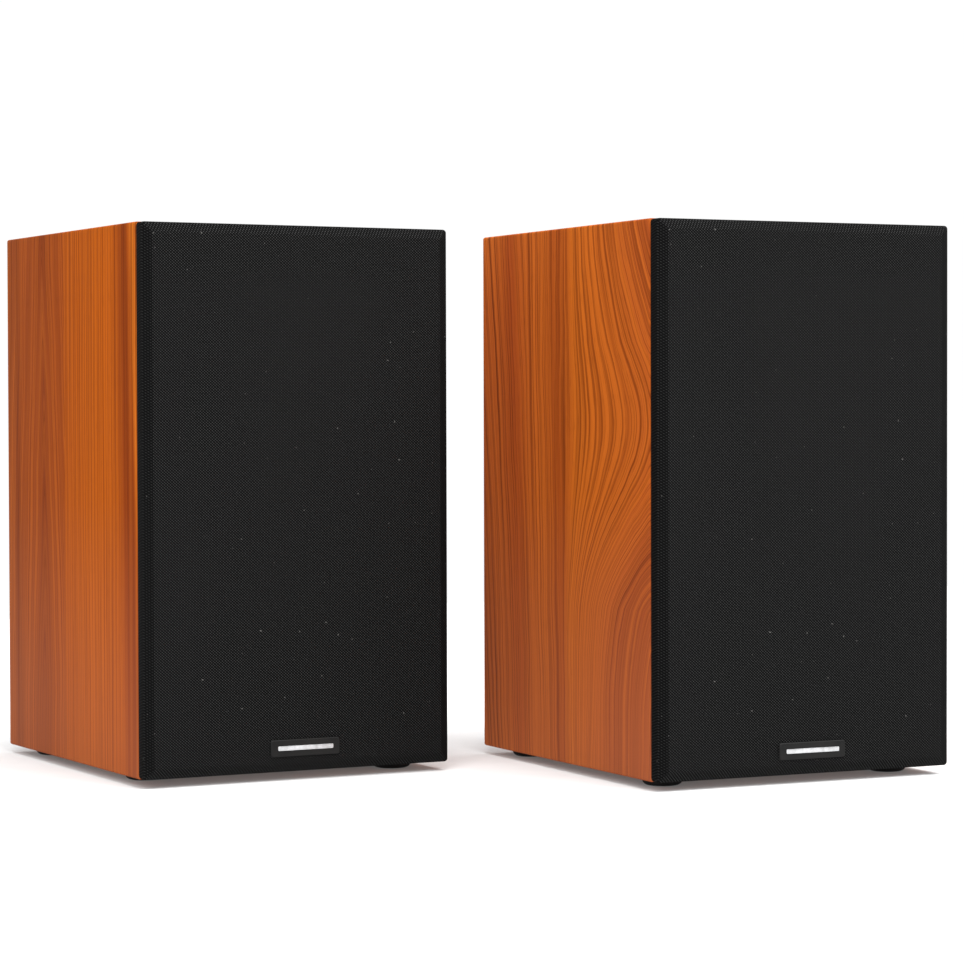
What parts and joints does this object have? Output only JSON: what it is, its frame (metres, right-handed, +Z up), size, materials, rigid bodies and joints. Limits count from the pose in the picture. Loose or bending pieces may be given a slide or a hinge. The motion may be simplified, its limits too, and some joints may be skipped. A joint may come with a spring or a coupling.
{
  "type": "pair of bookshelf loudspeakers",
  "caption": "Pair of cherry-wrapped box loudspeakers with full-front black cloth grilles that pull off over a woofer and a dome tweeter, on rubber feet.",
  "frame": {"origin": "on the desk, at the middle of the rectangle that the pair takes up", "axes": "+Z up; +X to the listener's right, across the desk; -Y towards the listener, the way both grilles face"},
  "size_m": [0.4128, 0.3467, 0.2926],
  "materials": {
    "cherry_vinyl": "cherry wood-grain vinyl wrapped on fibreboard, satin",
    "black_vinyl": "fine-grained black vinyl on fibreboard, matt",
    "wadding": "loose white polyester wadding",
    "crossover_board": "green circuit board with its components",
    "foot_rubber": "matt black moulded rubber",
    "grille_board": "black-painted fibreboard",
    "grille_cloth": "taut black woven grille cloth",
    "badge_metal": "satin aluminium, blank",
    "basket_steel": "pressed steel, black powder coat",
    "surround_rubber": "smooth satin black rubber",
    "cone_paper": "black coated paper pulp",
    "voice_coil_wire": "copper-clad aluminium wire on an aluminium former",
    "spider_cloth": "resin-dipped amber cotton",
    "ferrite": "ground dark grey ferrite",
    "zinc_steel": "zinc-plated steel",
    "black_plastic": "fine-textured moulded black plastic",
    "silk_dome": "coated black silk",
    "red_plastic": "moulded red plastic"
  },
  "bodies": {
    "left_speaker_cabinet": {"left_speaker_left_side_panel": "cherry_vinyl", "left_speaker_right_side_panel": "cherry_vinyl", "left_speaker_top_panel": "cherry_vinyl", "left_speaker_bottom_panel": "cherry_vinyl", "left_speaker_front_baffle": "black_vinyl", "left_speaker_back_panel": "black_vinyl", "left_speaker_wadding": "wadding", "left_speaker_crossover": "crossover_board", "left_speaker_front_left_foot": "foot_rubber", "left_speaker_front_right_foot": "foot_rubber", "left_speaker_rear_left_foot": "foot_rubber", "left_speaker_rear_right_foot": "foot_rubber", "left_speaker_woofer_basket": "basket_steel", "left_speaker_woofer_surround": "surround_rubber", "left_speaker_spider": "spider_cloth", "left_speaker_magnet": "ferrite", "left_speaker_yoke": "zinc_steel", "left_speaker_tweeter_faceplate": "black_plastic", "left_speaker_tweeter_motor": "ferrite", "left_speaker_port_tube": "black_plastic", "left_speaker_terminal_cup": "black_plastic"},
    "left_speaker_grille": {"left_speaker_grille_frame": "grille_board", "left_speaker_grille_cloth": "grille_cloth", "left_speaker_badge": "badge_metal"},
    "left_speaker_woofer_cone": {"left_speaker_woofer_cone": "cone_paper", "left_speaker_dust_cap": "cone_paper", "left_speaker_voice_coil": "voice_coil_wire"},
    "left_speaker_tweeter_dome": {"left_speaker_tweeter_dome": "silk_dome"},
    "left_speaker_red_lever": {"left_speaker_red_lever": "red_plastic"},
    "left_speaker_black_lever": {"left_speaker_black_lever": "black_plastic"},
    "right_speaker_cabinet": {"right_speaker_left_side_panel": "cherry_vinyl", "right_speaker_right_side_panel": "cherry_vinyl", "right_speaker_top_panel": "cherry_vinyl", "right_speaker_bottom_panel": "cherry_vinyl", "right_speaker_front_baffle": "black_vinyl", "right_speaker_back_panel": "black_vinyl", "right_speaker_wadding": "wadding", "right_speaker_crossover": "crossover_board", "right_speaker_front_left_foot": "foot_rubber", "right_speaker_front_right_foot": "foot_rubber", "right_speaker_rear_left_foot": "foot_rubber", "right_speaker_rear_right_foot": "foot_rubber", "right_speaker_woofer_basket": "basket_steel", "right_speaker_woofer_surround": "surround_rubber", "right_speaker_spider": "spider_cloth", "right_speaker_magnet": "ferrite", "right_speaker_yoke": "zinc_steel", "right_speaker_tweeter_faceplate": "black_plastic", "right_speaker_tweeter_motor": "ferrite", "right_speaker_port_tube": "black_plastic", "right_speaker_terminal_cup": "black_plastic"},
    "right_speaker_grille": {"right_speaker_grille_frame": "grille_board", "right_speaker_grille_cloth": "grille_cloth", "right_speaker_badge": "badge_metal"},
    "right_speaker_woofer_cone": {"right_speaker_woofer_cone": "cone_paper", "right_speaker_dust_cap": "cone_paper", "right_speaker_voice_coil": "voice_coil_wire"},
    "right_speaker_tweeter_dome": {"right_speaker_tweeter_dome": "silk_dome"},
    "right_speaker_red_lever": {"right_speaker_red_lever": "red_plastic"},
    "right_speaker_black_lever": {"right_speaker_black_lever": "black_plastic"}
  },
  "joints": [
    {"name": "speaker_spacing", "type": "slide", "parent": "left_speaker_cabinet", "child": "right_speaker_cabinet", "axis": [1, 0, 0], "range_m": [0, 0.5]},
    {"name": "left_speaker_grille_pull", "type": "slide", "parent": "left_speaker_cabinet", "child": "left_speaker_grille", "axis": [0.0219, -0.9998, 0], "range_m": [0, 0.12]},
    {"name": "left_speaker_woofer_stroke", "type": "slide", "parent": "left_speaker_cabinet", "child": "left_speaker_woofer_cone", "axis": [0.0219, -0.9998, 0], "range_m": [-0.004, 0.004], "stiffness_N_per_m": 1100, "deforming": ["left_speaker_woofer_surround", "left_speaker_spider"]},
    {"name": "left_speaker_tweeter_stroke", "type": "slide", "parent": "left_speaker_cabinet", "child": "left_speaker_tweeter_dome", "axis": [0.0219, -0.9998, 0], "range_m": [-0.0003, 0.0003], "stiffness_N_per_m": 20},
    {"name": "left_speaker_red_lever_press", "type": "hinge", "parent": "left_speaker_cabinet", "child": "left_speaker_red_lever", "pos_m": [-0.13073, 0.16116, 0.082], "axis": [-0.9998, -0.0219, 0], "range_deg": [0, 20], "stiffness_Nm_per_rad": 0.002, "springref_deg": -17.19},
    {"name": "left_speaker_black_lever_press", "type": "hinge", "parent": "left_speaker_cabinet", "child": "left_speaker_black_lever", "pos_m": [-0.10473, 0.16173, 0.082], "axis": [-0.9998, -0.0219, 0], "range_deg": [0, 20], "stiffness_Nm_per_rad": 0.002, "springref_deg": -17.19},
    {"name": "right_speaker_grille_pull", "type": "slide", "parent": "right_speaker_cabinet", "child": "right_speaker_grille", "axis": [-0.0219, -0.9998, 0], "range_m": [0, 0.12]},
    {"name": "right_speaker_woofer_stroke", "type": "slide", "parent": "right_speaker_cabinet", "child": "right_speaker_woofer_cone", "axis": [-0.0219, -0.9998, 0], "range_m": [-0.004, 0.004], "stiffness_N_per_m": 1100, "deforming": ["right_speaker_woofer_surround", "right_speaker_spider"]},
    {"name": "right_speaker_tweeter_stroke", "type": "slide", "parent": "right_speaker_cabinet", "child": "right_speaker_tweeter_dome", "axis": [-0.0219, -0.9998, 0], "range_m": [-0.0003, 0.0003], "stiffness_N_per_m": 20},
    {"name": "right_speaker_red_lever_press", "type": "hinge", "parent": "right_speaker_cabinet", "child": "right_speaker_red_lever", "pos_m": [0.10473, 0.0233, 0.082], "axis": [-0.9998, 0.0219, 0], "range_deg": [0, 20], "stiffness_Nm_per_rad": 0.002, "springref_deg": -17.19},
    {"name": "right_speaker_black_lever_press", "type": "hinge", "parent": "right_speaker_cabinet", "child": "right_speaker_black_lever", "pos_m": [0.13073, 0.02273, 0.082], "axis": [-0.9998, 0.0219, 0], "range_deg": [0, 20], "stiffness_Nm_per_rad": 0.002, "springref_deg": -17.19}
  ]
}
